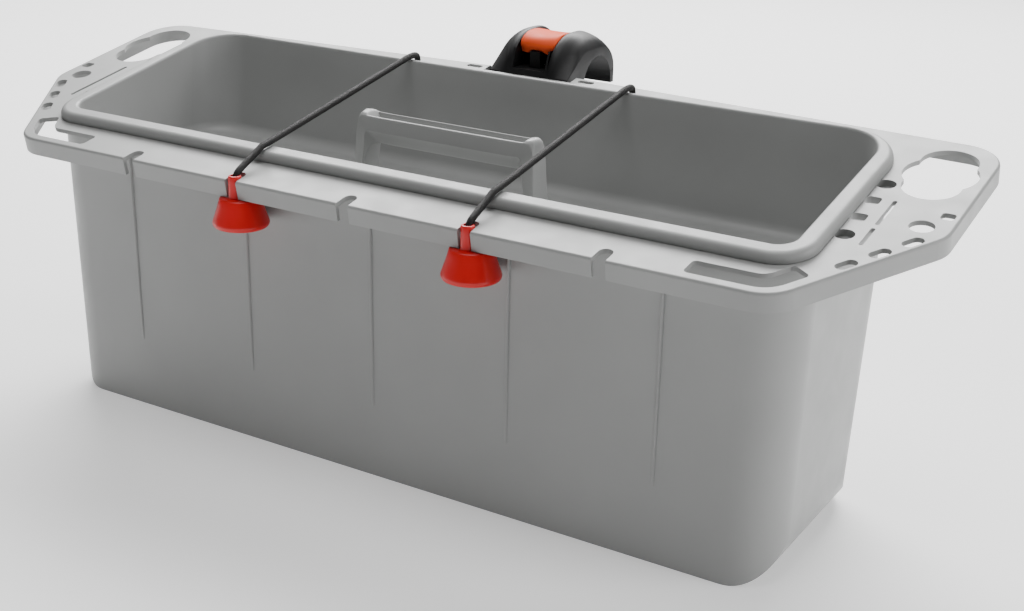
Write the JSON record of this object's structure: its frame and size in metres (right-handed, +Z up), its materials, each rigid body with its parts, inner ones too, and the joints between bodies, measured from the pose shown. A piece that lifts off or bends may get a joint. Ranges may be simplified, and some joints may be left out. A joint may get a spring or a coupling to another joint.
{
  "type": "tool storage caddy",
  "caption": "Long open tool bin with a tilted flanged rim, a lift-out tray, elastic tray cords with cone pulls, and a rear hook with a release button for a ladder rung.",
  "frame": {"origin": "centre of the bin's floor, on the surface it stands on", "axes": "+X along the bin to the right, +Y to the hook at the back, +Z up"},
  "size_m": [0.668, 0.2905, 0.2625],
  "materials": {
    "grey_plastic": "fine satin moulding",
    "black_plastic": "satin",
    "orange_plastic": "satin",
    "red_plastic": "glossy",
    "cord_braid": "fine woven cover over an elastic core",
    "spring_steel": "plain"
  },
  "bodies": {
    "bin": {"bin_tub": "grey_plastic", "hook_housing": "black_plastic", "pawl_pin": "spring_steel", "button_spring": "spring_steel", "hook_screw_1": "spring_steel", "hook_screw_2": "spring_steel", "hook_screw_3": "spring_steel", "hook_screw_4": "spring_steel", "left_cord": "cord_braid", "right_cord": "cord_braid", "left_rear_ferrule": "spring_steel", "right_rear_ferrule": "spring_steel"},
    "tray": {"lift_out_tray": "grey_plastic", "tray_handle": "grey_plastic"},
    "button": {"release_button": "orange_plastic", "push_rod": "black_plastic"},
    "pawl": {"latch_pawl": "black_plastic"},
    "left_pull": {"left_knob": "red_plastic", "left_front_ferrule": "spring_steel"},
    "right_pull": {"right_knob": "red_plastic", "right_front_ferrule": "spring_steel"}
  },
  "joints": [
    {"name": "tray_lift", "type": "slide", "parent": "bin", "child": "tray", "axis": [0, 0, 1], "range_m": [0, 0.1], "deforming": ["left_cord", "right_cord"]},
    {"name": "button_press", "type": "slide", "parent": "bin", "child": "button", "axis": [0, 0, -1], "range_m": [0, 0.0045], "stiffness_N_per_m": 800, "springref_m": -0.002, "deforming": ["button_spring"]},
    {"name": "pawl_turn", "type": "hinge", "parent": "bin", "child": "pawl", "pos_m": [0, 0.12498, 0.203], "axis": [1, 0, 0], "range_deg": [0, 41]},
    {"name": "left_pull_down", "type": "slide", "parent": "bin", "child": "left_pull", "axis": [0, 0.0349, -0.9994], "range_m": [0, 0.02], "stiffness_N_per_m": 150, "springref_m": -0.02},
    {"name": "right_pull_down", "type": "slide", "parent": "bin", "child": "right_pull", "axis": [0, 0.0349, -0.9994], "range_m": [0, 0.02], "stiffness_N_per_m": 150, "springref_m": -0.02}
  ],
  "couplings": [
    {"joint": "pawl_turn", "follows": "button_press", "rad_per_m": 155.14}
  ]
}
